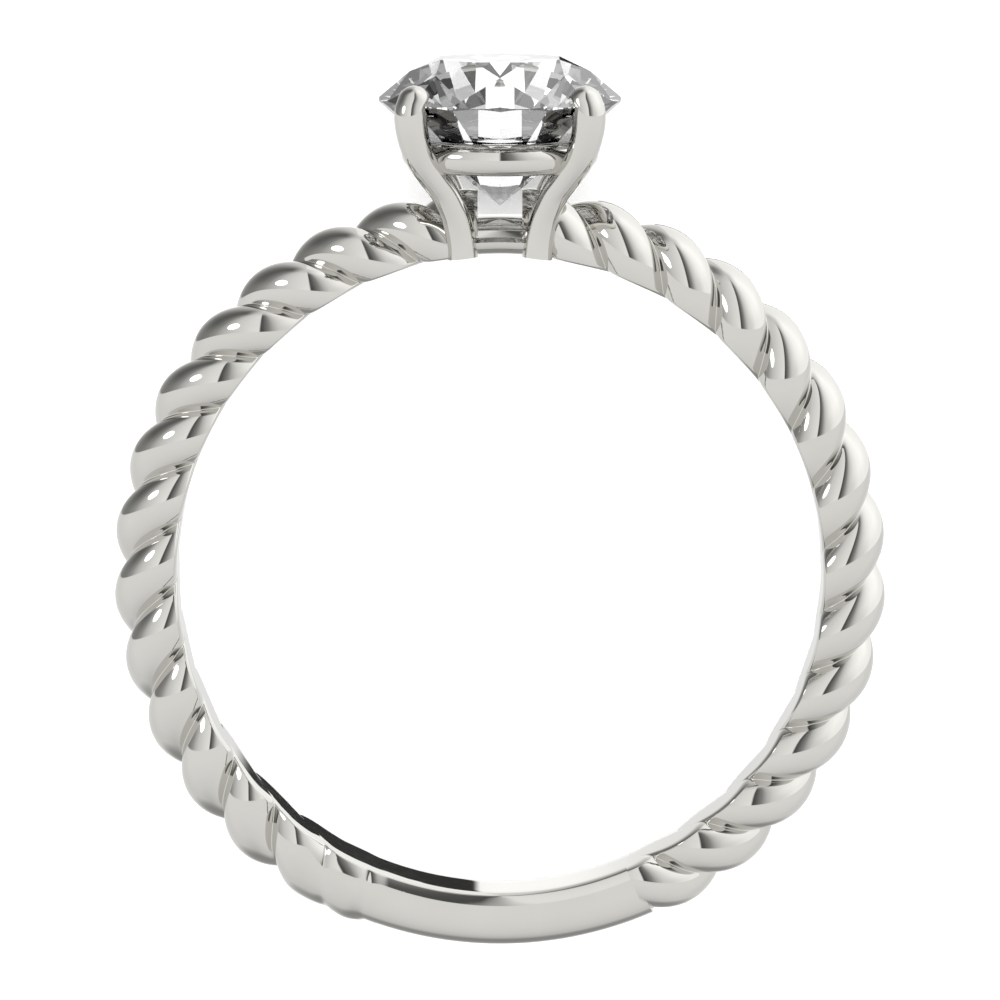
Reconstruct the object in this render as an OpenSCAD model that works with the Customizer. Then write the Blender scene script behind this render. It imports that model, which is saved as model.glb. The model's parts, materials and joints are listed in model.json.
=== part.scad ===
// Solitaire ring with a twisted shank, lying on its side as it would on a table.
// Lengths are in millimetres. The ring is drawn flat first: the finger hole runs along Z,
// the head points along +Y, and angles round the ring go anticlockwise from +X, so the head
// is at 90 degrees. It is then tipped onto the edge of its stone and the side of its shank.

/* [Finger hole] */
// Inside diameter of the ring
finger_d = 17.49; // [15.7:0.01:20.6]

/* [Rope shank] */
// Radius of each of the two twisted strands
strand_r = 0.700; // [0.55:0.001:0.75]
// Distance from the middle of the rope to the middle of a strand
strand_offset = 0.484; // [0.45:0.001:0.6]
// Length of rope in which a strand goes once round
strand_lead = 3.591; // [3.2:0.001:4.2]
// Distance from the wall of the finger hole to the middle of the rope
rope_lift = 0.559; // [0.45:0.001:0.62]
// Angle at which the middle of a crest lies on the outside of the right half
right_crest = 7.08; // [0:0.01:11]
// Angle at which the middle of a crest lies on the outside of the left half
left_crest = 228.24; // [226:0.01:230]

/* [Plain sizing stretch] */
// Thickness of the plain stretch at the bottom
band_t = 1.54; // [1.4:0.005:1.7]
// Width of the plain stretch along the finger
band_w = 2.06; // [1.8:0.01:2.3]
// Squareness of its D section: 2 is an oval and 4 nearly a box
band_square = 2.6; // [2.2:0.1:3.4]
// Angle where the right half of the rope is cut off square
cut_angle = 293.2; // [288:0.1:300]
// Number of crests of the left half that sink into the plain stretch
fade_crests = 3.5; // [2.5:0.5:4.5]

/* [Head] */
// Height of the stone's girdle above the wall of the finger hole
head_h = 4.118; // [3.9:0.001:4.6]
// Opening between the two ends of the rope under the stone
rope_gap = 1.2; // [0.9:0.01:1.5]
// Thickness of the bridge below that opening
bridge_t = 1.005; // [0.8:0.005:1.2]
// Width of the bridge along the finger
bridge_w = 2.0; // [1.7:0.01:2.3]
// Diameter of the prong wire
prong_d = 0.8; // [0.7:0.01:0.95]
// Diameter of the gallery ring's wire
gallery_d = 0.86; // [0.7:0.01:0.95]
// Diameter of the gallery ring, from middle to middle of its wire
gallery_mid_d = 4.44; // [4.3:0.01:4.7]
// Height of the gallery ring's middle above the wall of the finger hole
gallery_h = 2.685; // [2.5:0.005:2.9]

/* [Stone] */
// Diameter of the stone at its girdle
stone_d = 6.5; // [6.3:0.01:6.8]
// Thickness of the girdle
girdle_t = 0.13; // [0.12:0.005:0.25]
// Diameter of the table, corner to corner
table_d = 3.445; // [3.2:0.005:3.9]
// Angle of the crown's bezel facets
crown_angle = 34.5; // [32:0.1:36]
// Angle of the pavilion's main facets
pavilion_angle = 40.75; // [39:0.05:42]
// Gap left between the stone and the metal
seat_gap = 0.03; // [0.02:0.005:0.06]

/* [Hidden] */

// Rope: radii from the finger's axis, and the angle from one crest to the next
hole_r = finger_d / 2;
rope_mid_r = hole_r + rope_lift;
crest_angle = strand_lead / 2 / rope_mid_r * 180 / PI;
crest_r = strand_offset + strand_r;
strand_apart = 180;
head_angle = 90;
points_per_lobe = 12;
steps_per_crest = 6;
groove_search = 24;

// Plain stretch: semi-axes of its section, measured from the middle of the rope
band_rise = band_t - rope_lift;
band_half_w = band_w / 2;
band_step = 2.5;
band_overlap = 0.25;
even_span = 2 * band_step;
end_spare = 2;
block = 4;

// Fade of the left rope into the plain stretch, as shares of the fade's length: where its grooves are
// filled and the plain stretch has its whole size, and where the rope starts to sink
filled_at = 0.35;
sink_from = 0.58;
// What is left of the flanks of its lobes and of the rope at its end, and what there is of the
// plain stretch at its start, where the rope still hides it
lobe_left = 0.45;
sunk_rope = 0.8;
first_band = 0.55;
fade_from_crest = 0.5;
fade_start = left_crest + crest_angle * fade_from_crest;
fade_span = fade_crests * crest_angle / 2;
fade_end = fade_start + fade_span;

// Head: heights are from the finger's axis
girdle_y = hole_r + head_h;
stone_r = stone_d / 2;
girdle_top = girdle_y + girdle_t / 2;
girdle_base = girdle_y - girdle_t / 2;
prongs = 4;
first_prong = 45;
prong_sides = 14;
dome_steps = 3;
dome_rise = 80;
bridge_span = 6.2;
bridge_steps = 4;
bridge_square = 2.3;
bridge_points = 24;
// How far the bridge's inner side reaches into the finger hole, which then trims it
bridge_spare = 1.2;

// Facets of what is turned: the hole's wall, the seat and gallery ring, and the gallery's wire
hole_sides = 128;
turned_sides = 96;
wire_sides = 48;

// Stone: one bezel facet to each corner of the table, with four corners of the girdle to each
mains = 8;
girdle_points = 4 * mains;
main_apart = 360 / mains;
main_half = main_apart / 2;
girdle_apart = 360 / girdle_points;
// Facet corners, as shares of the way from the table or the culet to the girdle
table_r = table_d / 2;
table_edge_r = table_r * cos(main_half);
star_share = 0.5;
lower_half_share = 0.77;
table_y = girdle_top + (stone_r - table_r) * tan(crown_angle);
culet_y = girdle_base - stone_r * tan(pavilion_angle);
star_r = table_edge_r + star_share * (stone_r - table_edge_r);
star_y = table_y - (star_r * cos(main_half) - table_r) * tan(crown_angle);
lower_r = stone_r * (1 - lower_half_share);
lower_y = culet_y + lower_r * cos(main_half) * tan(pavilion_angle);

// Rest: the ring tips until its stone and the last strand before the cut that lies to the side
// touch the same plane
side_crest = right_crest + crest_angle / 2;
rest_angle = side_crest + crest_angle * ceil((cut_angle - 360 - side_crest) / crest_angle);
rest_y = rope_mid_r * sin(rest_angle);
rest_tilt = atan((stone_r - crest_r) / (girdle_base - rest_y));
rest_lift = stone_r * cos(rest_tilt) - girdle_base * sin(rest_tilt);
// Its two ends along Y: the table's edge, and the corner of the plain stretch's section
rest_top = table_y * cos(rest_tilt) + table_edge_r * sin(rest_tilt);
corner = band_square / (band_square - 1);
corner_sum = pow(band_rise * cos(rest_tilt), corner) + pow(band_half_w * sin(rest_tilt), corner);
rest_foot = rope_mid_r * cos(rest_tilt) + pow(corner_sum, 1 / corner);
rest_shift = (rest_foot - rest_top) / 2;

// Prong: each row is the height as a share of head_h, the distance from the head's axis as a
// share of the stone's radius, and the thickness as a share of the prong wire
PRONG = [
    [-0.15, 0.432, 1.02],
    [0.06, 0.439, 1.01],
    [0.225, 0.497, 0.98],
    [0.334, 0.569, 0.94],
    [0.426, 0.648, 0.93],
    [0.501, 0.740, 0.93],
    [0.572, 0.826, 0.95],
    [0.637, 0.896, 0.98],
    [0.718, 0.960, 1.02],
    [0.839, 1.014, 1.07],
    [0.950, 1.027, 1.11],
    [1.025, 0.985, 1.13],
];

// Section of the rope

// Surface of a strand at angle v round its own middle: [distance from the rope's middle, angle]
function strand_surface(v) = let(
        lead = strand_lead / (2 * PI),
        slant = norm([strand_offset, lead]),
        out = strand_offset + strand_r * cos(v),
        side = strand_r * sin(v) * lead / slant,
        turn = strand_r * sin(v) * strand_offset / (slant * lead) * 180 / PI
    ) [norm([out, side]), turn + atan2(side, out)];

// Angle v at which one strand meets the other, a quarter of the way round the rope
function groove_angle(low, high, left) = let(middle = (low + high) / 2)
    left < 1 ? middle
    : strand_surface(middle)[1] < strand_apart / 2 ? groove_angle(middle, high, left - 1)
    : groove_angle(low, middle, left - 1);

groove = groove_angle(0, strand_apart, groove_search);

// The two strands' outlines: [angle v, angle round the rope] from one groove round to the next
ROPE_SECTION = [
    for (strand = [0, 1]) for (k = [0 : points_per_lobe - 1]) let(v = groove * (2 * k / points_per_lobe - 1))
        [v, strand_surface(v)[1] + strand_apart * strand]
];
section_points = len(ROPE_SECTION);

// Distance from the middle to the edge of a rounded rectangle, in the direction phi
function oval_reach(phi, rise, half_w, square) =
    pow(pow(abs(cos(phi)) / rise, square) + pow(abs(sin(phi)) / half_w, square), -1 / square);

// A point of a section at angle a round the ring; phi 0 points outwards and 90 along the finger
function ring_point(a, mid_r, phi, reach) = let(r = mid_r + reach * cos(phi))
    [r * cos(a), r * sin(a), reach * sin(phi)];

// One section of the shank, where turn counts crests, lobe_share tells how much of a lobe's flank
// shows, and even goes from 0 in the rope to 1 where its points lie at equal angles
function shank_section(a, turn, rope_share, lobe_share, band_share, even) = [
    for (k = [0 : section_points - 1]) let(
            twisted = ROPE_SECTION[k][1] - strand_apart * turn,
            level = 360 * k / section_points - strand_apart * (turn + 0.5),
            phi = twisted + (level - twisted) * even,
            rope = rope_share * strand_surface(ROPE_SECTION[k][0] * lobe_share)[0],
            band = band_share * oval_reach(phi, band_rise, band_half_w, band_square)
        ) ring_point(a, rope_mid_r, phi, max(rope, band))
];

// A smooth step from 0 at low to 1 at high
function ease(x, low, high) = let(t = min(1, max(0, (x - low) / (high - low)))) t * t * (3 - 2 * t);

// A skin over a list of sections, with a flat end at each side
module skin(sections) {
    n = len(sections[0]);
    last = len(sections) - 1;
    polyhedron(
        points = [for (s = sections) for (p = s) p],
        faces = concat(
            [for (i = [1 : n - 2]) [0, i + 1, i]],
            [for (i = [1 : n - 2]) [last * n, last * n + i, last * n + i + 1]],
            [
                for (s = [0 : last - 1]) for (i = [0 : n - 1])
                    [s * n + i, (s + 1) * n + (i + 1) % n, (s + 1) * n + i]
            ],
            [
                for (s = [0 : last - 1]) for (i = [0 : n - 1])
                    [s * n + i, s * n + (i + 1) % n, (s + 1) * n + (i + 1) % n]
            ]
        )
    );
}

// Block with a flat face on the shank's radial plane at angle a, on its clockwise side if side
// is -1 and on its anticlockwise side if side is 1
module end_block(a, side) {
    rotate([0, 0, a])
        translate([hole_r - block, side < 0 ? -block : 0, -block])
            cube([2 * block, block, 2 * block]);
}

// Block that clears the opening under the stone, for the half of the rope on the given side
module gap_block(side) {
    translate([side < 0 ? -rope_gap / 2 : rope_gap / 2 - block, hole_r - block, -block])
        cube([block, 2 * block, 2 * block]);
}

// Right half of the rope, from the square cut up to the head
module right_rope() {
    first = cut_angle - 360 - end_spare;
    steps = ceil((head_angle - first) / crest_angle * steps_per_crest);
    difference() {
        skin([
            for (k = [0 : steps]) let(a = first + (head_angle - first) * k / steps)
                shank_section(a, (a - right_crest) / crest_angle, 1, 1, 0, 0)
        ]);
        end_block(cut_angle, -1);
        gap_block(1);
    }
}

// Left half of the rope, whose crests crowd together and sink into the plain stretch
module left_rope_and_band() {
    final = cut_angle + end_spare;
    rope_steps = ceil((fade_start - head_angle) / crest_angle * steps_per_crest);
    fade_steps = ceil(fade_crests * steps_per_crest);
    band_steps = ceil((final - fade_end) / band_step);
    difference() {
        skin(concat(
            [
                for (k = [0 : rope_steps - 1]) let(
                        a = head_angle + (fade_start - head_angle) * k / rope_steps
                    ) shank_section(a, (a - left_crest) / crest_angle, 1, 1, 0, 0)
            ],
            [
                for (k = [0 : fade_steps - 1]) let(
                        crests = fade_crests * k / fade_steps,
                        a = fade_start + fade_span * (1 - pow(1 - crests / fade_crests, 2)),
                        filled = ease(a, fade_start, fade_start + fade_span * filled_at),
                        sunk = ease(a, fade_start + fade_span * sink_from, fade_end),
                        rope_share = 1 + (sunk_rope - 1) * sunk,
                        lobe_share = 1 + (lobe_left - 1) * filled,
                        band_share = first_band + (1 - first_band) * filled
                    ) shank_section(a, fade_from_crest + crests, rope_share, lobe_share, band_share, 0)
            ],
            [
                for (k = [0 : band_steps]) let(
                        a = fade_end + (final - fade_end) * k / band_steps,
                        even = ease(a, fade_end, fade_end + even_span)
                    ) shank_section(a, fade_from_crest + fade_crests, 0, 1, 1, even)
            ]
        ));
        end_block(cut_angle + band_overlap, 1);
        gap_block(-1);
    }
}

// Bar that closes the shank under the head
module bridge() {
    mid_r = hole_r + bridge_t / 2;
    skin([
        for (step = [-bridge_steps : bridge_steps]) let(a = head_angle + bridge_span * step / bridge_steps) [
            for (k = [0 : bridge_points - 1]) let(
                    phi = 360 * k / bridge_points,
                    reach = oval_reach(phi, bridge_t / 2, bridge_w / 2, bridge_square)
                ) ring_point(a, mid_r, phi, cos(phi) < 0 ? reach * bridge_spare : reach)
        ]
    ]);
}

// A ring of points round a place on a prong, square to the way the prong leans there
function prong_ring(place, lean, radius) = [
    for (k = [0 : prong_sides - 1]) let(around = 360 * k / prong_sides, out = radius * cos(around))
        [place[0] + out * cos(lean), place[1] - out * sin(lean), radius * sin(around)]
];

// One prong in its own plane: X away from the head's axis and Y up
module prong() {
    last = len(PRONG) - 1;
    rows = [for (row = PRONG) [row[1] * stone_r, hole_r + row[0] * head_h, row[2] * prong_d / 2]];
    leans = [
        for (i = [0 : last]) let(a = rows[max(0, i - 1)], b = rows[min(last, i + 1)])
            atan2(b[0] - a[0], b[1] - a[1])
    ];
    skin(concat(
        [for (i = [0 : last]) prong_ring(rows[i], leans[i], rows[i][2])],
        [
            for (k = [1 : dome_steps]) let(
                    rise = dome_rise * k / dome_steps,
                    along = rows[last][2] * sin(rise),
                    out = rows[last][0] + along * sin(leans[last]),
                    up = rows[last][1] + along * cos(leans[last])
                ) prong_ring([out, up], leans[last], rows[last][2] * cos(rise))
        ]
    ));
}

// Round wire that joins the four prongs under the stone
module gallery_ring() {
    translate([0, hole_r + gallery_h, 0])
        rotate([90, 0, 0])
            rotate_extrude($fn = turned_sides)
                translate([gallery_mid_d / 2, 0])
                    circle(d = gallery_d, $fn = wire_sides);
}

// Room for the stone: the outline that its corners turn through, enlarged by the gap
module stone_seat() {
    r = stone_r + seat_gap;
    rotate([-90, 0, 0])
        rotate_extrude($fn = turned_sides)
            polygon([
                [0, culet_y - seat_gap],
                [lower_r, lower_y - seat_gap],
                [r, girdle_base - seat_gap / 2],
                [r, girdle_top + seat_gap / 2],
                [star_r, star_y + seat_gap],
                [table_r, table_y + 2 * seat_gap],
                [0, table_y + 2 * seat_gap]
            ]);
}

// The corner of a facet at angle a round the stone
function stone_point(r, y, a) = [r * sin(a), y, r * cos(a)];

// Round brilliant, with an edge of its table facing along the finger
module brilliant() {
    bulge = stone_r * (1 - cos(girdle_apart));
    chord = stone_r * cos(girdle_apart);
    dip = bulge * (star_y - girdle_top) / (chord - star_r * cos(girdle_apart));
    swell = bulge * (girdle_base - lower_y) / (chord - lower_r * cos(girdle_apart));
    n = girdle_points;
    table = 0;
    star = table + mains;
    upper = star + mains;
    lower = upper + n;
    half = lower + n;
    culet = half + mains;
    polyhedron(
        points = concat(
            [for (k = [0 : mains - 1]) stone_point(table_r, table_y, main_half + main_apart * k)],
            [for (k = [0 : mains - 1]) stone_point(star_r, star_y, main_apart * k)],
            [for (k = [0 : n - 1]) stone_point(stone_r, girdle_top - dip * (k % 2), girdle_apart * k)],
            [for (k = [0 : n - 1]) stone_point(stone_r, girdle_base + swell * (k % 2), girdle_apart * k)],
            [for (k = [0 : mains - 1]) stone_point(lower_r, lower_y, main_apart * k)],
            [[0, culet_y, 0]]
        ),
        faces = concat(
            [for (k = [1 : mains - 2]) [table, table + k + 1, table + k]],
            [for (k = [0 : mains - 1]) [star + k, table + (k + mains - 1) % mains, table + k]],
            [for (k = [0 : mains - 1]) [star + k, table + k, upper + 4 * k + 2]],
            [for (k = [0 : mains - 1]) [star + (k + 1) % mains, upper + 4 * k + 2, table + k]],
            [
                for (k = [0 : mains - 1]) for (side = [-2 : 1])
                    let(at = (4 * k + side + n) % n) [star + k, upper + (at + 1) % n, upper + at]
            ],
            [for (k = [0 : n - 1]) [upper + k, upper + (k + 1) % n, lower + k]],
            [for (k = [0 : n - 1]) [upper + (k + 1) % n, lower + (k + 1) % n, lower + k]],
            [
                for (k = [0 : mains - 1]) for (side = [-2 : 1])
                    let(at = (4 * k + side + n) % n) [half + k, lower + at, lower + (at + 1) % n]
            ],
            [for (k = [0 : mains - 1]) [culet, half + k, lower + 4 * k + 2]],
            [for (k = [0 : mains - 1]) [culet, lower + 4 * k + 2, half + (k + 1) % mains]]
        )
    );
}

// Lays the upright ring on its side
module at_rest() {
    translate([0, rest_shift, rest_lift])
        rotate([rest_tilt, 0, 0])
            children();
}

// Shank, bridge, prongs and gallery ring, cast and soldered into one piece
module ring_metal() {
    color("lightgray") at_rest() difference() {
        difference() {
            union() {
                right_rope();
                left_rope_and_band();
                bridge();
                for (k = [0 : prongs - 1]) rotate([0, first_prong + 360 * k / prongs, 0]) prong();
                gallery_ring();
            }
            cylinder(r = hole_r, h = 2 * block, center = true, $fn = hole_sides);
        }
        stone_seat();
    }
}

// The stone between the prongs
module stone() {
    color("white") at_rest() brilliant();
}

ring_metal();
stone();
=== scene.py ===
# Solitaire ring with a twisted shank: the finished look of its polished metal and cut stone
import json
import math

import bmesh
import bpy
import numpy as np
from mathutils import Matrix, Vector


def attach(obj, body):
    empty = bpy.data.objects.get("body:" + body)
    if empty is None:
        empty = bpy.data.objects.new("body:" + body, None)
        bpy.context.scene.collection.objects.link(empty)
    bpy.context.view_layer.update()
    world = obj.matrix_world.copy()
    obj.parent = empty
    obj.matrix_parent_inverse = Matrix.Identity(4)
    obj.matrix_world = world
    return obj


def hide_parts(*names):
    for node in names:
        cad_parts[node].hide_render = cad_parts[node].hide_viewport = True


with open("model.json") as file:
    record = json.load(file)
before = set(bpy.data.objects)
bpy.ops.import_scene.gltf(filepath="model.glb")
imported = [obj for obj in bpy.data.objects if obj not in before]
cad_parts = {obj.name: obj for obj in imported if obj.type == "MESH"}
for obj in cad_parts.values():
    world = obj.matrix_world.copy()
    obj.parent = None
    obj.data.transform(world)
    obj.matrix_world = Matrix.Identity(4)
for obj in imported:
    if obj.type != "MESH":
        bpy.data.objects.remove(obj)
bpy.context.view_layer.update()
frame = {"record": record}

scene = bpy.context.scene

# Lengths are in millimetres and angles in degrees, unless a comment says otherwise. The ring is drawn in its
# own frame, with the finger hole's middle at the origin, the finger along Z and the head towards Y
MM = 0.001

# Where the ring lies: its finger hole's middle and how far its axis leans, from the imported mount
MOUNT = frame["record"]["mounts"][0]
HOLE_R = MOUNT["dims"]["r_mm"]
LEAN = math.atan2(-MOUNT["axis"][1], MOUNT["axis"][2])
LAY = Matrix.Translation(MOUNT["pos_m"]) @ Matrix.Rotation(LEAN, 4, "X")

# Rope shank
STRAND_R = 0.70
STRAND_OFFSET = 0.484
STRAND_LEAD = 3.591
ROPE_LIFT = 0.559
RIGHT_CREST = 7.08
LEFT_CREST = 228.24
ROPE_MID_R = HOLE_R + ROPE_LIFT
CREST_ANGLE = math.degrees(STRAND_LEAD / 2 / ROPE_MID_R)

# Plain sizing stretch
BAND_T = 1.54
BAND_W = 2.06
BAND_SQUARE = 2.6
CUT_ANGLE = 293.2
BAND_OVERLAP = 0.9
BAND_BLEND = 0.06

# Fade of the left rope into it: where it starts after the last steady crest, and crests that crowd together
FADE_FROM_CREST = 0.5
FADE_CRESTS = 3.5
FADE_START = LEFT_CREST + CREST_ANGLE * FADE_FROM_CREST
FADE_SPAN = FADE_CRESTS * CREST_ANGLE / 2
FADE_END = FADE_START + FADE_SPAN
# Shares of the fade's length where the grooves are filled and where the rope starts to sink
FILLED_AT = 0.35
SINK_FROM = 0.58
# What is left of a lobe's flanks and of the rope, how much of the band there is at first, and the angle after
# the fade in which the sunk rope ends
LOBE_LEFT = 0.45
SUNK_ROPE = 0.8
FIRST_BAND = 0.55
SUNK_SPAN = 5

# Head
HEAD_ANGLE = 90
HEAD_H = 4.118
ROPE_GAP = 1.2
GALLERY_D = 0.86
GALLERY_MID_D = 4.44
GALLERY_H = 2.685

# Bridge. Its oval is widened by BRIDGE_SPARE towards the finger, where it is cut along the finger hole, and its
# wall stands back from the shank's by BRIDGE_OFF_HOLE
BRIDGE_T = 1.005
BRIDGE_W = 2.0
BRIDGE_SQUARE = 2.3
BRIDGE_HALF_SPAN = 6.2
BRIDGE_SPARE = 1.2
BRIDGE_OFF_HOLE = 0.002

# Prong: height as a share of HEAD_H, distance from the head's axis as a share of the stone's radius, and
# thickness as a share of the prong wire
PRONGS = 4
FIRST_PRONG = 45
PRONG_D = 0.8
PRONG = [
    (-0.15, 0.432, 1.02),
    (0.06, 0.439, 1.01),
    (0.225, 0.497, 0.98),
    (0.334, 0.569, 0.94),
    (0.426, 0.648, 0.93),
    (0.501, 0.740, 0.93),
    (0.572, 0.826, 0.95),
    (0.637, 0.896, 0.98),
    (0.718, 0.960, 1.02),
    (0.839, 1.014, 1.07),
    (0.950, 1.027, 1.11),
    (1.025, 0.985, 1.13),
]

# Tool that trims the head along the finger hole
BORE_SPARE = 0.004
BORE_DEPTH = 12

# Stone
STONE_D = 6.5
GIRDLE_T = 0.13
TABLE_D = 3.445
CROWN_ANGLE = 34.5
PAVILION_ANGLE = 40.75
STAR_SHARE = 0.5
LOWER_HALF_SHARE = 0.77
SEAT_GAP = 0.03
# How far the disc that it is cut from reaches below it
ROUGH_SPARE = 1
MAINS = 8
HALF_MAIN = math.pi / MAINS
STONE_R = STONE_D / 2
TABLE_R = TABLE_D / 2
CROWN_SLOPE = math.tan(math.radians(CROWN_ANGLE))
PAVILION_SLOPE = math.tan(math.radians(PAVILION_ANGLE))
GIRDLE_Y = HOLE_R + HEAD_H
GIRDLE_TOP = GIRDLE_Y + GIRDLE_T / 2
GIRDLE_BASE = GIRDLE_Y - GIRDLE_T / 2
TABLE_Y = GIRDLE_TOP + (STONE_R - TABLE_R) * CROWN_SLOPE
CULET_Y = GIRDLE_BASE - STONE_R * PAVILION_SLOPE
# Corners of the star facets and of the lower girdle facets
TABLE_EDGE_R = TABLE_R * math.cos(HALF_MAIN)
STAR_R = TABLE_EDGE_R + STAR_SHARE * (STONE_R - TABLE_EDGE_R)
STAR_Y = TABLE_Y - (STAR_R * math.cos(HALF_MAIN) - TABLE_R) * CROWN_SLOPE
LOWER_R = STONE_R * (1 - LOWER_HALF_SHARE)
LOWER_Y = CULET_Y + LOWER_R * math.cos(HALF_MAIN) * PAVILION_SLOPE

# Softness of the grooves and of the finger hole's edges
GROOVE_ROUND = 0.07
EDGE_ROUND = 0.19

# Fineness of the shank's mesh: directions tried round a section, points kept of them, and lines of points from
# one crest to the next. A share of the points is dealt out by length, and the rest where the outline bends
TRIED_POINTS = 1440
LINE_POINTS = 76
CREST_LINES = 30
LENGTH_SHARE = 0.45
# Fineness of the other pieces
STRAND_TABLE = 2000
TURNED_SIDES = 128
GALLERY_SIDES = 40
BRIDGE_SIDES = 64
BRIDGE_STEPS = 17
PRONG_SIDES = 48
PRONG_STEPS = 4
DOME_STEPS = 12
BORE_SIDES = 720
SHARP_FROM = 35
# Least share of a direction that counts as inwards, so that no distance grows without end
LEAST_INWARDS = 1e-3

# Materials: colours from dark to light spots, ranges of roughness, and sizes of spots and waves in metres
METAL_DARK = (0.635, 0.627, 0.594)
METAL_LIGHT = (0.655, 0.647, 0.616)
METAL_ROUGHNESS = (0.03, 0.055)
METAL_CLOUD = 0.0016
METAL_GRAIN = 0.0005
WAVE_LENGTH = 0.0011
WAVE_DEPTH = 0.0000012
STONE_DARK = (0.97, 0.975, 0.98)
STONE_LIGHT = (1.0, 1.0, 1.0)
STONE_ROUGHNESS = (0.0, 0.004)
STONE_CLOUD = 0.0012
STONE_GRAIN = 0.0006
STONE_IOR = 2.417
PAPER_DARK = (0.89, 0.89, 0.89)
PAPER_LIGHT = (0.91, 0.91, 0.91)
PAPER_ROUGHNESS = (0.86, 0.94)
PAPER_GRAIN = 0.0004
PAPER_DEPTH = 0.00001
# Levels of the noise that count as dark and as light
NOISE_DARK = 0.3
NOISE_LIGHT = 0.7

# Floor: half its side in metres
FLOOR_HALF = 1.5

# Camera, as it looked at the ring in the photo
CAMERA_DISTANCE = 164.4
CAMERA_RISE = 8.66
CAMERA_TARGET_Y = 1.976
PIXELS_PER_MM = 36.86
IMAGE_PIXELS = 1000
SENSOR = 36.0
# In metres
CLIP_START = 0.01

# Studio light round the ring, seen in its reflections. Azimuth is 0 straight behind the camera and grows to the
# right, and the two levels are those just above the horizon and half way up
STUDIO = [
    (-180, 1.35, 0.90),
    (-175, 1.30, 0.90),
    (-171, 1.00, 0.80),
    (-152, 0.50, 0.42),
    (-135, 0.32, 0.22),
    (-115, 0.27, 0.14),
    (-98, 0.30, 0.18),
    (-80, 0.42, 0.32),
    (-66, 0.64, 0.60),
    (-52, 0.81, 0.84),
    (-25, 1.00, 1.00),
    (-0.6, 1.15, 1.10),
    (0.6, 0.08, 0.09),
    (6, 0.12, 0.14),
    (16, 0.32, 0.32),
    (24, 0.60, 0.65),
    (34, 0.88, 0.92),
    (50, 1.00, 1.20),
    (70, 1.26, 1.40),
    (100, 1.32, 1.55),
    (130, 1.28, 1.40),
    (155, 1.20, 1.30),
    (178, 1.20, 1.20),
    (179, 1.35, 0.90),
    (180, 1.35, 0.90),
]
# Heights between which low turns into high, and high into the level straight above
WALL_HEIGHTS = (6, 34)
TOP_HEIGHTS = (70, 90)
TOP_LEVEL = 0.85
# Floor and what lies below, by height, with the heights of the soft horizon. It sinks a little at the far right
GROUND = [(-90, 0.68), (-75, 0.80), (-60, 0.89), (-40, 0.95), (-15, 1.00), (0, 1.00)]
HORIZON = (0.2, 2.0)
HORIZON_DROP = 2.0
DROP_AZIMUTHS = (150, 160)
# Shade under and behind the ring: direction's azimuth and height, angles where it ends and where it is whole,
# and its depth
SHADES = [(180, -60, 34, 10, 0.55), (180, -20, 90, 45, 0.10)]
# Dark card behind the ring, seen in the wall of its finger hole: sides, top at its left side, rise, softness of
# sides and top, and level
CARD_LEFT = 167.8
CARD_RIGHT = 178.4
CARD_TOP = 7.0
CARD_RISE = 0.9
CARD_SIDE_SOFT = 0.3
CARD_TOP_SOFT = 0.5
CARD_LEVEL = 0.04
# Small round lamp near the ring
LAMP_PLACE = (-38.5, 26.8, 26.0)
LAMP_R = 8.5
LAMP_LEVEL = 3.0
# Level of the light that falls on the floor, and of the far wall
FILL_LEVEL = 2.3
BACKDROP_LEVEL = 1.0
# Dark and bright panels that the stone shows, by how far to either side of the ring's axis they stand, from in
# front of the ring at 0 to behind it at 180, low and high
PANELS = [
    (0, 0.20, 0.40),
    (3, 0.20, 0.40),
    (4, 0.90, 1.25),
    (11, 0.90, 1.25),
    (13, 0.45, 0.12),
    (24, 0.45, 0.12),
    (28, 1.30, 1.25),
    (44, 1.30, 0.06),
    (48, 0.20, 0.06),
    (66, 0.20, 1.00),
    (70, 1.20, 0.40),
    (90, 1.20, 0.30),
    (96, 0.50, 0.70),
    (120, 0.80, 0.12),
    (132, 0.30, 0.08),
    (137, 0.02, 0.10),
    (160, 0.02, 0.80),
    (165, 1.45, 0.45),
    (172, 1.45, 0.35),
    (180, 1.45, 1.10),
]
PANEL_HEIGHTS = (8, 16)


def smooth_min(a, b, k):
    """The lesser of a and b, rounded where they are closer than k."""
    share = np.clip(0.5 + 0.5 * (b - a) / k, 0, 1)
    return b + (a - b) * share - k * share * (1 - share)


def smooth_max(a, b, k):
    return -smooth_min(-a, -b, k)


def ease(x, low, high):
    """A smooth step from 0 at low to 1 at high."""
    t = np.clip((x - low) / (high - low), 0, 1)
    return t * t * (3 - 2 * t)


def round_angles(count):
    """Angles in radians, evenly spaced once round."""
    return np.arange(count) * 2 * math.pi / count


def inwards(phi):
    """How much of a section's direction points to the finger hole."""
    return np.maximum(-np.cos(phi), LEAST_INWARDS)


def strand_surface(v):
    """Distance from the rope's middle, and angle in degrees, of a strand's surface at v round the strand."""
    lead = STRAND_LEAD / (2 * math.pi)
    slant = math.hypot(STRAND_OFFSET, lead)
    out = STRAND_OFFSET + STRAND_R * np.cos(v)
    side = STRAND_R * np.sin(v) * lead / slant
    turn = STRAND_R * np.sin(v) * STRAND_OFFSET / (slant * lead)
    return np.hypot(out, side), np.degrees(turn + np.arctan2(side, out))


STRAND_V = np.linspace(0, math.pi, STRAND_TABLE)
STRAND_REACH, STRAND_ANGLE = strand_surface(STRAND_V)


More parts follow.
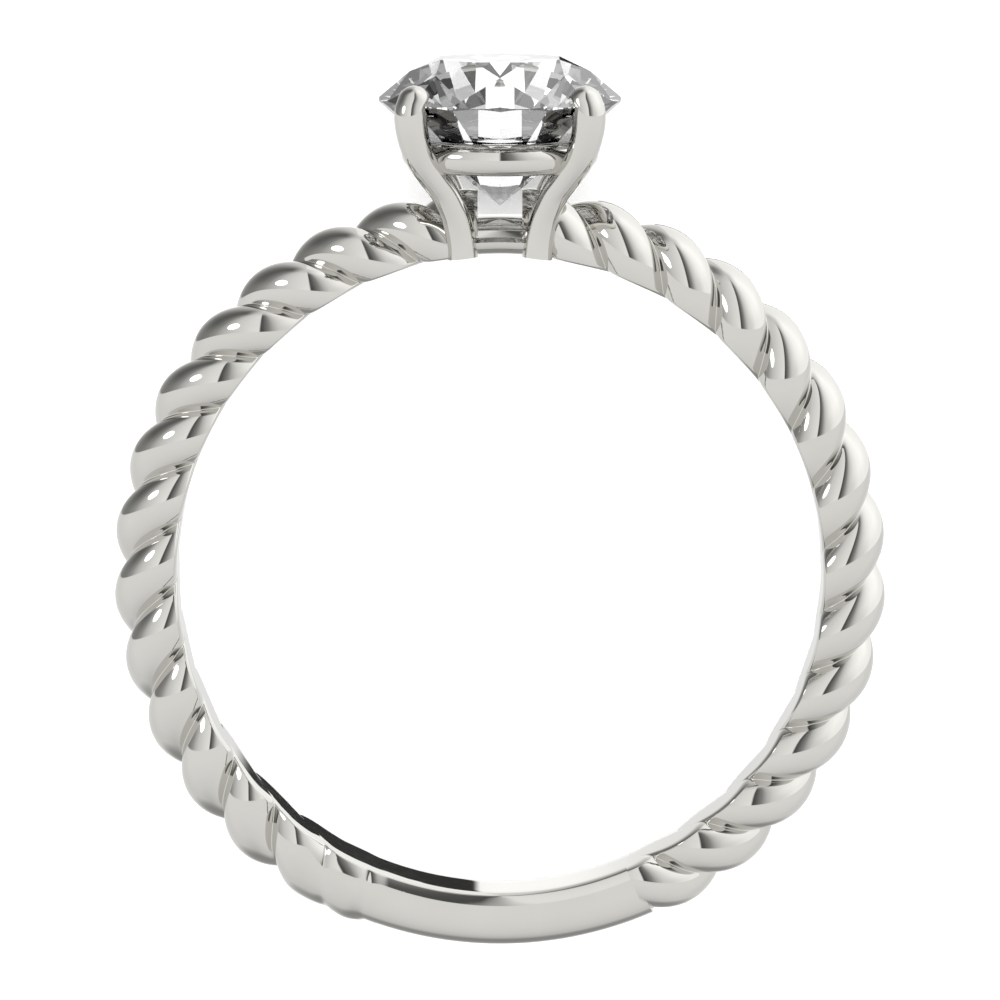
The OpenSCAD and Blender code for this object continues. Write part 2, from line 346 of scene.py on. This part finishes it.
def rope_reach(angle, lobe_share=1):
    """Distance from the rope's middle to its surface, at an angle in degrees from the crest of a strand, where
    lobe_share tells how much of a lobe's flank shows."""
    away = np.abs((angle + 180) % 360 - 180)
    near = np.interp(lobe_share * np.interp(away, STRAND_ANGLE, STRAND_V), STRAND_V, STRAND_REACH)
    far = np.interp(lobe_share * np.interp(180 - away, STRAND_ANGLE, STRAND_V), STRAND_V, STRAND_REACH)
    return smooth_max(near, far, GROOVE_ROUND)


def oval_reach(phi, rise, half_w, square):
    """Distance from the middle of a rounded rectangle to its edge, in the direction phi."""
    c, s = np.abs(np.cos(phi)), np.abs(np.sin(phi))
    return ((c / rise) ** square + (s / half_w) ** square) ** (-1 / square)


def ring_points(a, mid_r, phi, reach):
    """Points of a section at angle a round the ring, with a and phi in radians. phi is 0 outwards, and a
    quarter turn is along the finger."""
    r = mid_r + reach * np.cos(phi)
    return np.stack([r * np.cos(a), r * np.sin(a), reach * np.sin(phi)], 1)


def dealt(places, points, way, count):
    """Picks count of the places along a curve, closer together where it bends, from its points and ways."""
    length = np.linalg.norm(np.diff(points, axis=0), axis=1)
    bend = np.abs(np.gradient(np.unwrap(way)))
    weight = LENGTH_SHARE * length / length.sum() + (1 - LENGTH_SHARE) * bend / bend.sum()
    along = np.concatenate([[0], np.cumsum(weight)])
    return np.interp(np.arange(count) / count, along, places)


def directions(x, y):
    return np.arctan2(np.diff(y), np.diff(x))


def shank_line(turn, place, shares):
    """A line of points once round the shank, along a strand that is at turn crests in direction 0. place gives
    the angle at a count of crests, and shares how much rope, lobe and band there is at an angle."""
    def surface(phi):
        a = place(turn - phi / math.pi)
        rope_share, lobe_share, band_share = shares(a)
        rope = rope_share * rope_reach(180 * turn, lobe_share)
        band = band_share * oval_reach(phi, BAND_T - ROPE_LIFT, BAND_W / 2, BAND_SQUARE)
        reach = smooth_min(smooth_max(rope, band, BAND_BLEND), ROPE_LIFT / inwards(phi), EDGE_ROUND)
        return reach, ring_points(np.radians(a), ROPE_MID_R, phi, reach)

    tried = np.linspace(-math.pi, math.pi, TRIED_POINTS + 1)
    reach, points = surface(tried)
    phi = dealt(tried, points, directions(reach * np.cos(tried), reach * np.sin(tried)), LINE_POINTS)
    return surface(phi)[1]


def crest_places():
    """Places of the lines of points from one crest to the next, as shares, which gather at the groove."""
    tried = np.linspace(0, 1, TRIED_POINTS + 1)
    along, reach = tried * STRAND_LEAD / 2, rope_reach(180 * tried)
    return dealt(tried, np.stack([along, reach], 1), directions(along, reach), CREST_LINES)


def band_of_faces(mesh, a, b):
    """Faces between two rings of as many corners, where a ring may also be one corner on the axis."""
    sides = max(len(a), len(b))
    for i in range(sides):
        j = (i + 1) % sides
        corners = [a[i % len(a)], a[j % len(a)], b[j % len(b)], b[i % len(b)]]
        mesh.faces.new(list(dict.fromkeys(corners)))


def skin(sections):
    """A closed mesh over a list of rings of points."""
    mesh = bmesh.new()
    rings = [[mesh.verts.new(p) for p in section] for section in sections]
    for a, b in zip(rings, rings[1:]):
        band_of_faces(mesh, a, b)
    mesh.faces.new(rings[0][::-1])
    mesh.faces.new(rings[-1])
    bmesh.ops.recalc_face_normals(mesh, faces=mesh.faces)
    return mesh


def turned(points, closed=False):
    """A solid turned about the head's axis from (distance, height) points. They start and end on the axis, or
    with closed the last one leads back to the first."""
    mesh = bmesh.new()
    rings = []
    for r, y in points:
        angles = round_angles(TURNED_SIDES) if r else [0]
        rings.append([mesh.verts.new((r * math.sin(t), y, r * math.cos(t))) for t in angles])
    after = rings[1:] + (rings[:1] if closed else [])
    for a, b in zip(rings, after):
        band_of_faces(mesh, a, b)
    bmesh.ops.recalc_face_normals(mesh, faces=mesh.faces)
    return mesh


def shank_skin(turns, place, shares):
    """A tube over lines of points along the strands. A line ends where the one two crests before it began, and
    the first and last crest, where that line is missing, are cut off later."""
    mesh = bmesh.new()
    lines = [[mesh.verts.new(p) for p in shank_line(turn, place, shares)] for turn in turns]
    for back, (line, after) in enumerate(zip(lines, lines[1:]), -2 * CREST_LINES):
        ends = ([], []) if back < 0 else ([lines[back][0]], [lines[back + 1][0]])
        line, after = line + ends[0], after + ends[1]
        for i in range(len(line) - 1):
            mesh.faces.new([line[i], line[i + 1], after[i + 1], after[i]])
    bmesh.ops.recalc_face_normals(mesh, faces=mesh.faces)
    return mesh


def keep_side(mesh, co, no, half=0):
    """Cuts a closed mesh by a plane and closes it again, keeping the side away from no. With half 1 or -1, only
    the half towards or away from the head is cut."""
    faces = [f for f in mesh.faces if all(half * v.co.y >= 0 for v in f.verts)]
    geometry = list({v for f in faces for v in f.verts}) + list({e for f in faces for e in f.edges}) + faces
    cut = bmesh.ops.bisect_plane(mesh, geom=geometry, plane_co=co, plane_no=no, clear_outer=True)
    edges = [e for e in cut["geom_cut"] if isinstance(e, bmesh.types.BMEdge)]
    bmesh.ops.holes_fill(mesh, edges=edges, sides=0)
    return mesh


def radial_cut(mesh, angle, side):
    """Cuts a mesh at an angle round the ring, and keeps what is clockwise of it if side is 1."""
    a = math.radians(angle)
    return keep_side(mesh, (0, 0, 0), (-side * math.sin(a), side * math.cos(a), 0), -1)


def rope_turns(first, last):
    """Counts of crests of the lines of points, from first to last."""
    return [crest + share for crest in range(math.floor(first), math.ceil(last)) for share in crest_places()]


def right_place(crests):
    """Angle round the ring at a count of crests on the right half."""
    return RIGHT_CREST + CREST_ANGLE * crests


def right_shares(a):
    """All of the rope and its lobes and nothing of the plain stretch, all along the right half."""
    return 1, 1, 0


def right_rope():
    first = (CUT_ANGLE - 360 - RIGHT_CREST) / CREST_ANGLE - 1
    last = (HEAD_ANGLE - RIGHT_CREST) / CREST_ANGLE + 1
    mesh = shank_skin(rope_turns(first, last), right_place, right_shares)
    keep_side(mesh, (ROPE_GAP / 2, 0, 0), (-1, 0, 0), 1)
    return radial_cut(mesh, CUT_ANGLE, -1)


def left_place(crests):
    """Angle round the ring at a count of crests on the left half, which crowd together where they sink."""
    past = crests - FADE_FROM_CREST
    sunk = np.clip(past / FADE_CRESTS, 0, 1)
    steady = np.minimum(past, 0) + np.maximum(past - FADE_CRESTS, 0)
    return FADE_START + CREST_ANGLE * steady + FADE_SPAN * (1 - (1 - sunk) ** 2)


def left_shares(a):
    """How much rope, flanks of its lobes and plain stretch there is at an angle on the left half."""
    filled = ease(a, FADE_START, FADE_START + FADE_SPAN * FILLED_AT)
    sunk = ease(a, FADE_START + FADE_SPAN * SINK_FROM, FADE_END)
    rope = (1 + (SUNK_ROPE - 1) * sunk) * (1 - ease(a, FADE_END, FADE_END + SUNK_SPAN))
    return rope, 1 + (LOBE_LEFT - 1) * filled, FIRST_BAND + (1 - FIRST_BAND) * filled


def left_rope_and_band():
    first = (HEAD_ANGLE - LEFT_CREST) / CREST_ANGLE - 1
    last = FADE_FROM_CREST + FADE_CRESTS + (CUT_ANGLE + BAND_OVERLAP - FADE_END) / CREST_ANGLE + 1
    mesh = shank_skin(rope_turns(first, last), left_place, left_shares)
    keep_side(mesh, (-ROPE_GAP / 2, 0, 0), (1, 0, 0), 1)
    return radial_cut(mesh, CUT_ANGLE + BAND_OVERLAP, 1)


def bridge():
    """The bar under the head."""
    phi = round_angles(BRIDGE_SIDES)
    widened = np.where(np.cos(phi) < 0, BRIDGE_SPARE, 1)
    oval = oval_reach(phi, BRIDGE_T / 2, BRIDGE_W / 2, BRIDGE_SQUARE)
    reach = smooth_min(oval * widened, BRIDGE_T / 2 / inwards(phi), EDGE_ROUND)
    angles = np.linspace(HEAD_ANGLE - BRIDGE_HALF_SPAN, HEAD_ANGLE + BRIDGE_HALF_SPAN, BRIDGE_STEPS)
    mid_r = HOLE_R + BRIDGE_T / 2 + BRIDGE_OFF_HOLE
    return skin([ring_points(a, mid_r, phi, reach) for a in np.radians(angles)])


def gallery_ring():
    """The round rail that joins the prongs."""
    around = round_angles(GALLERY_SIDES)
    out = GALLERY_MID_D / 2 + GALLERY_D / 2 * np.cos(around)
    high = HOLE_R + GALLERY_H + GALLERY_D / 2 * np.sin(around)
    return turned(list(zip(out, high)), closed=True)


def spline(rows, steps):
    """A Catmull-Rom curve through rows, with steps points between two of them."""
    rows = np.array(rows, float)
    ends = np.vstack([2 * rows[0] - rows[1], rows, 2 * rows[-1] - rows[-2]])
    out = []
    for i in range(1, len(ends) - 2):
        p0, p1, p2, p3 = ends[i - 1:i + 3]
        for t in np.arange(steps) / steps:
            out.append(0.5 * (2 * p1 + (p2 - p0) * t + (2 * p0 - 5 * p1 + 4 * p2 - p3) * t ** 2
                              + (3 * p1 - p0 - 3 * p2 + p3) * t ** 3))
    out.append(rows[-1])
    return np.array(out)


def prong(angle):
    """One prong, standing at an angle in radians round the head's axis."""
    rows = spline([(out * STONE_R, HOLE_R + high * HEAD_H, wire * PRONG_D / 2) for high, out, wire in PRONG],
                  PRONG_STEPS)
    leans = np.arctan2(np.gradient(rows[:, 0]), np.gradient(rows[:, 1]))
    around = round_angles(PRONG_SIDES)
    turn = Matrix.Rotation(angle, 3, "Y")

    def ring(x, y, lean, radius):
        out = radius * np.cos(around)
        points = np.stack([x + out * math.cos(lean), y - out * math.sin(lean), radius * np.sin(around)], 1)
        return [turn @ Vector(p) for p in points]

    sections = [ring(x, y, lean, r) for (x, y, r), lean in zip(rows, leans)]
    # Dome on the tip
    x, y, r = rows[-1]
    lean = leans[-1]
    for k in range(1, DOME_STEPS):
        rise = math.pi / 2 * k / DOME_STEPS
        out, up = r * math.sin(rise) * math.sin(lean), r * math.sin(rise) * math.cos(lean)
        sections.append(ring(x + out, y + up, lean, r * math.cos(rise)))
    return skin(sections)


def seat():
    """The room that the stone takes in the prongs."""
    r = STONE_R + SEAT_GAP
    top = TABLE_Y + 2 * SEAT_GAP
    return turned([(0, CULET_Y - SEAT_GAP), (LOWER_R, LOWER_Y - SEAT_GAP), (r, GIRDLE_BASE - SEAT_GAP / 2),
                   (r, GIRDLE_TOP + SEAT_GAP / 2), (STAR_R, STAR_Y + SEAT_GAP), (TABLE_R, top), (0, top)])


def brilliant():
    """Round brilliant of 57 facets, cut from a disc by planes."""
    base = CULET_Y - ROUGH_SPARE
    mesh = turned([(0, base), (STONE_R, base), (STONE_R, TABLE_Y), (0, TABLE_Y)])

    def at(r, y, angle):
        return Vector((r * math.sin(angle), y, r * math.cos(angle)))

    def cut(angle, a, b, c):
        """Cuts away what lies outside the plane through a, b and c, turned by angle round the stone."""
        out = (b - a).cross(c - a).normalized()
        if out.dot(a - Vector((0, GIRDLE_Y, 0))) < 0:
            out = -out
        turn = Matrix.Rotation(angle, 3, "Y")
        keep_side(mesh, turn @ a, turn @ out)

    for k in range(MAINS):
        turn = 2 * HALF_MAIN * k
        # Bezel and pavilion mains, which touch the girdle, then a star and two pairs of girdle facets
        for tip, edge in ((TABLE_Y + TABLE_R * CROWN_SLOPE, GIRDLE_TOP), (CULET_Y, GIRDLE_BASE)):
            touch = at(STONE_R, edge, 0)
            cut(turn + HALF_MAIN, at(0, tip, 0), touch, touch + Vector((1, 0, 0)))
        cut(turn, at(TABLE_R, TABLE_Y, HALF_MAIN), at(TABLE_R, TABLE_Y, -HALF_MAIN), at(STAR_R, STAR_Y, 0))
        for side in (-HALF_MAIN, HALF_MAIN):
            cut(turn, at(STAR_R, STAR_Y, 0), at(STONE_R, GIRDLE_TOP, 0), at(STONE_R, GIRDLE_TOP, side))
            cut(turn, at(LOWER_R, LOWER_Y, 0), at(STONE_R, GIRDLE_BASE, 0), at(STONE_R, GIRDLE_BASE, side))
    return mesh


def bore():
    mesh = bmesh.new()
    r = HOLE_R + BORE_SPARE
    bmesh.ops.create_cone(mesh, cap_ends=True, segments=BORE_SIDES, radius1=r, radius2=r, depth=BORE_DEPTH)
    return mesh


def placed(name, data):
    thing = bpy.data.objects.new(name, data)
    scene.collection.objects.link(thing)
    return thing


def to_object(name, mesh):
    """An object of a mesh that was drawn in the ring's own frame."""
    data = bpy.data.meshes.new(name)
    bmesh.ops.triangulate(mesh, faces=[f for f in mesh.faces if len(f.verts) > 4])
    mesh.to_mesh(data)
    mesh.free()
    data.transform(Matrix.Scale(MM, 4))
    data.transform(LAY)
    return placed(name, data)


def combine(piece, operation, other):
    """Adds another piece to a piece with UNION, or takes it away with DIFFERENCE. The other is used up."""
    mod = piece.modifiers.new("join", "BOOLEAN")
    mod.object = other
    mod.operation = operation
    mod.solver = "MANIFOLD"
    dg = bpy.context.evaluated_depsgraph_get()
    data = bpy.data.meshes.new_from_object(piece.evaluated_get(dg))
    piece.modifiers.clear()
    piece.data = data
    bpy.data.objects.remove(other)


def shade(piece, smooth):
    piece.data.polygons.foreach_set("use_smooth", [smooth] * len(piece.data.polygons))
    if smooth:
        piece.data.set_sharp_from_angle(angle=math.radians(SHARP_FROM))


def head():
    """Gallery ring and prongs, trimmed for the stone and the finger."""
    piece = to_object("head", gallery_ring())
    for k in range(PRONGS):
        combine(piece, "UNION", to_object("prong", prong(math.radians(FIRST_PRONG + 360 / PRONGS * k))))
    for name, mesh in (("seat", seat()), ("bore", bore())):
        combine(piece, "DIFFERENCE", to_object(name, mesh))
    return piece


def polished_ring():
    piece = to_object("polished_ring", right_rope())
    for name, mesh in (("left_half", left_rope_and_band()), ("bridge", bridge())):
        combine(piece, "UNION", to_object(name, mesh))
    combine(piece, "UNION", head())
    shade(piece, True)
    return piece


def cut_stone():
    piece = to_object("brilliant", brilliant())
    shade(piece, False)
    return piece


class Nodes:
    """Short ways of adding shader nodes to a tree."""

    def __init__(self, tree):
        self.tree = tree

    def put(self, socket, value):
        if isinstance(value, bpy.types.NodeSocket):
            self.tree.links.new(value, socket)
        else:
            socket.default_value = value

    def math(self, operation, *values):
        node = self.tree.nodes.new("ShaderNodeMath")
        node.operation = operation
        for socket, value in zip(node.inputs, values):
            self.put(socket, value)
        return node.outputs[0]

    def step(self, value, low, high):
        """0 below low and 1 above high, with a smooth step between them."""
        node = self.tree.nodes.new("ShaderNodeMapRange")
        node.interpolation_type = "SMOOTHSTEP"
        for name, number in (("Value", value), ("From Min", low), ("From Max", high)):
            self.put(node.inputs[name], number)
        return node.outputs[0]

    def blend(self, share, a, b):
        node = self.tree.nodes.new("ShaderNodeMix")
        node.clamp_factor = True
        for name, value in (("Factor", share), ("A", a), ("B", b)):
            self.put(node.inputs[name], value)
        return node.outputs[0]

    def toward(self, direction, azimuth, height):
        """Cosine of the angle between a direction and the one at an azimuth and height."""
        a, h = math.radians(azimuth), math.radians(height)
        node = self.tree.nodes.new("ShaderNodeVectorMath")
        node.operation = "DOT_PRODUCT"
        self.put(node.inputs[0], direction)
        self.put(node.inputs[1], (math.sin(a) * math.cos(h), math.sin(h), math.cos(a) * math.cos(h)))
        return node.outputs["Value"]

    def ramp(self, value, stops):
        """Level along value from (place, level) stops."""
        low, high = stops[0][0], stops[-1][0]
        most = max(level for place, level in stops)
        node = self.tree.nodes.new("ShaderNodeValToRGB")
        self.put(node.inputs[0], self.math("DIVIDE", self.math("SUBTRACT", value, low), high - low))
        elements = node.color_ramp.elements
        while len(elements) > 1:
            elements.remove(elements[-1])
        for k, (place, level) in enumerate(stops):
            share = (place - low) / (high - low)
            element = elements.new(share) if k else elements[0]
            element.position = share
            element.color = (level / most,) * 3 + (1,)
        return self.math("MULTIPLY", node.outputs[0], most)

    def noise(self, size, detail=3):
        """Soft random levels round a half, in spots of about a size in metres."""
        coordinates = self.tree.nodes.new("ShaderNodeTexCoord")
        node = self.tree.nodes.new("ShaderNodeTexNoise")
        self.put(node.inputs["Vector"], coordinates.outputs["Object"])
        self.put(node.inputs["Scale"], 1 / size)
        self.put(node.inputs["Detail"], detail)
        return node.outputs[0]

    def spread(self, value, low, high):
        """Turns noise from dark to light into levels from low to high."""
        node = self.tree.nodes.new("ShaderNodeMapRange")
        for name, number in (("Value", value), ("From Min", NOISE_DARK), ("From Max", NOISE_LIGHT),
                             ("To Min", low), ("To Max", high)):
            self.put(node.inputs[name], number)
        return node.outputs[0]

    def tint(self, value, dark, light):
        """Turns noise from dark to light into colours."""
        node = self.tree.nodes.new("ShaderNodeValToRGB")
        self.put(node.inputs[0], value)
        for element, place, colour in zip(node.color_ramp.elements, (NOISE_DARK, NOISE_LIGHT), (dark, light)):
            element.position = place
            element.color = colour + (1,)
        return node.outputs[0]

    def bump(self, value, depth):
        node = self.tree.nodes.new("ShaderNodeBump")
        node.inputs["Distance"].default_value = depth
        self.put(node.inputs["Height"], value)
        return node.outputs[0]


def new_material(name):
    material = bpy.data.materials.new(name)
    material.use_nodes = True
    return material, material.node_tree.nodes["Principled BSDF"].inputs, Nodes(material.node_tree)


def polished_metal():
    """White gold with a high polish, with faint cloudiness and the slightest waves left by the wheel."""
    material, inputs, nodes = new_material("white_gold")
    nodes.put(inputs["Metallic"], 1)
    nodes.put(inputs["Base Color"], nodes.tint(nodes.noise(METAL_CLOUD), METAL_DARK, METAL_LIGHT))
    nodes.put(inputs["Roughness"], nodes.spread(nodes.noise(METAL_GRAIN), *METAL_ROUGHNESS))
    nodes.put(inputs["Normal"], nodes.bump(nodes.noise(WAVE_LENGTH, 1), WAVE_DEPTH))
    return material


def clear_stone():
    """A clear stone, with a trace of cloud and the least haze of its polish."""
    material, inputs, nodes = new_material("diamond")
    nodes.put(inputs["Transmission Weight"], 1)
    nodes.put(inputs["IOR"], STONE_IOR)
    nodes.put(inputs["Base Color"], nodes.tint(nodes.noise(STONE_CLOUD), STONE_DARK, STONE_LIGHT))
    nodes.put(inputs["Roughness"], nodes.spread(nodes.noise(STONE_GRAIN), *STONE_ROUGHNESS))
    return material


def paper():
    """Matt white paper with a fine grain."""
    material, inputs, nodes = new_material("paper")
    grain = nodes.noise(PAPER_GRAIN)
    nodes.put(inputs["Base Color"], nodes.tint(grain, PAPER_DARK, PAPER_LIGHT))
    nodes.put(inputs["Roughness"], nodes.spread(grain, *PAPER_ROUGHNESS))
    nodes.put(inputs["Normal"], nodes.bump(grain, PAPER_DEPTH))
    return material


def paper_floor():
    """Floor that only the camera and soft light see, as the ring mirrors the ground of the studio."""
    mesh = bmesh.new()
    bmesh.ops.create_grid(mesh, x_segments=1, y_segments=1, size=FLOOR_HALF)
    data = bpy.data.meshes.new("floor")
    mesh.to_mesh(data)
    mesh.free()
    data.materials.append(paper())
    floor = placed("floor", data)
    floor.visible_glossy = False
    floor.visible_transmission = False
    return floor


def photo_camera():
    data = bpy.data.cameras.new("camera")
    data.lens = SENSOR * CAMERA_DISTANCE / (IMAGE_PIXELS / PIXELS_PER_MM)
    data.sensor_width = SENSOR
    data.clip_start = CLIP_START
    camera = placed("camera", data)
    rise = math.radians(CAMERA_RISE)
    place = Vector((0, math.sin(rise), math.cos(rise))) * CAMERA_DISTANCE + Vector((0, CAMERA_TARGET_Y, 0))
    camera.matrix_world = LAY @ Matrix.Translation(place * MM) @ Matrix.Rotation(-rise, 4, "X")
    return camera


def levels_of(nodes, place, height, rows, heights):
    """Level at a place and height, from rows of places with their low and high levels."""
    low, high = (nodes.ramp(place, [(row[0], row[k]) for row in rows]) for k in (1, 2))
    return nodes.blend(nodes.step(height, *heights), low, high)


def card_share(nodes, azimuth, height):
    """1 on the dark card and 0 beside it."""
    top = nodes.math("MULTIPLY_ADD", azimuth, CARD_RISE, CARD_TOP - CARD_RISE * CARD_LEFT)
    edges = ((nodes.math("SUBTRACT", azimuth, CARD_LEFT), CARD_SIDE_SOFT),
             (nodes.math("SUBTRACT", CARD_RIGHT, azimuth), CARD_SIDE_SOFT),
             (nodes.math("SUBTRACT", top, height), CARD_TOP_SOFT))
    share = 1
    for inside, soft in edges:
        share = nodes.math("MULTIPLY", share, nodes.step(inside, -soft, soft))
    return share


def ground_level(nodes, direction, height):
    """Level of the ground, with the shade round the ring."""
    level = nodes.ramp(height, GROUND)
    for azimuth, middle, end, whole, depth in SHADES:
        near = nodes.step(nodes.toward(direction, azimuth, middle), math.cos(math.radians(end)),
                          math.cos(math.radians(whole)))
        level = nodes.math("MULTIPLY", level, nodes.math("SUBTRACT", 1, nodes.math("MULTIPLY", near, depth)))
    return level


def studio_world():
    """The studio: one picture for the metal, others for the stone, the floor and the camera."""
    world = bpy.data.worlds.new("studio")
    world.use_nodes = True
    tree = world.node_tree
    nodes = Nodes(tree)
    # Direction in the ring's own frame
    turn = tree.nodes.new("ShaderNodeVectorRotate")
    turn.rotation_type = "X_AXIS"
    nodes.put(turn.inputs["Angle"], -LEAN)
    nodes.put(turn.inputs["Vector"], tree.nodes.new("ShaderNodeTexCoord").outputs["Generated"])
    direction = turn.outputs[0]
    split = tree.nodes.new("ShaderNodeSeparateXYZ")
    nodes.put(split.inputs[0], direction)
    x, y, z = split.outputs
    azimuth = nodes.math("DEGREES", nodes.math("ARCTAN2", x, z))
    height = nodes.math("DEGREES", nodes.math("ARCSINE", y))
    # What the metal mirrors
    walls = levels_of(nodes, azimuth, height, STUDIO, WALL_HEIGHTS)
    walls = nodes.blend(nodes.step(height, *TOP_HEIGHTS), walls, TOP_LEVEL)
    walls = nodes.blend(card_share(nodes, azimuth, height), walls, CARD_LEVEL)
    above = nodes.math("MULTIPLY_ADD", nodes.step(azimuth, *DROP_AZIMUTHS), HORIZON_DROP, height)
    level = nodes.blend(nodes.step(above, *HORIZON), ground_level(nodes, direction, height), walls)
    # What the floor, the stone and the camera get instead
    panels = levels_of(nodes, nodes.math("ABSOLUTE", azimuth), height, PANELS, PANEL_HEIGHTS)
    path = tree.nodes.new("ShaderNodeLightPath")
    for ray, other in (("Is Diffuse Ray", FILL_LEVEL), ("Is Transmission Ray", panels),
                       ("Is Camera Ray", BACKDROP_LEVEL)):
        level = nodes.blend(path.outputs[ray], level, other)
    nodes.put(tree.nodes["Background"].inputs["Color"], level)
    return world


def round_lamp():
    """Small lamp that leaves a round light spot on each lobe. The camera and the floor don't see it."""
    data = bpy.data.lights.new("lamp", "AREA")
    data.shape = "DISK"
    data.size = 2 * LAMP_R * MM
    # Pi times the area is the power of a lamp of level 1
    data.energy = LAMP_LEVEL * math.pi * math.pi * (LAMP_R * MM) ** 2
    lamp = placed("lamp", data)
    place = Vector(LAMP_PLACE)
    aim = place.to_track_quat("Z", "Y").to_matrix().to_4x4()
    lamp.matrix_world = LAY @ Matrix.Translation(place * MM) @ aim
    lamp.visible_camera = False
    lamp.visible_diffuse = False


for piece, node, slot, material in ((polished_ring(), "ring_metal", "white_metal", polished_metal()),
                                    (cut_stone(), "stone", "stone", clear_stone())):
    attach(piece, "root")
    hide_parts(node)
    piece.data.materials.clear()
    piece.data.materials.append(material)

paper_floor()
scene.camera = photo_camera()
scene.world = studio_world()
round_lamp()
scene.view_settings.view_transform = "Standard"
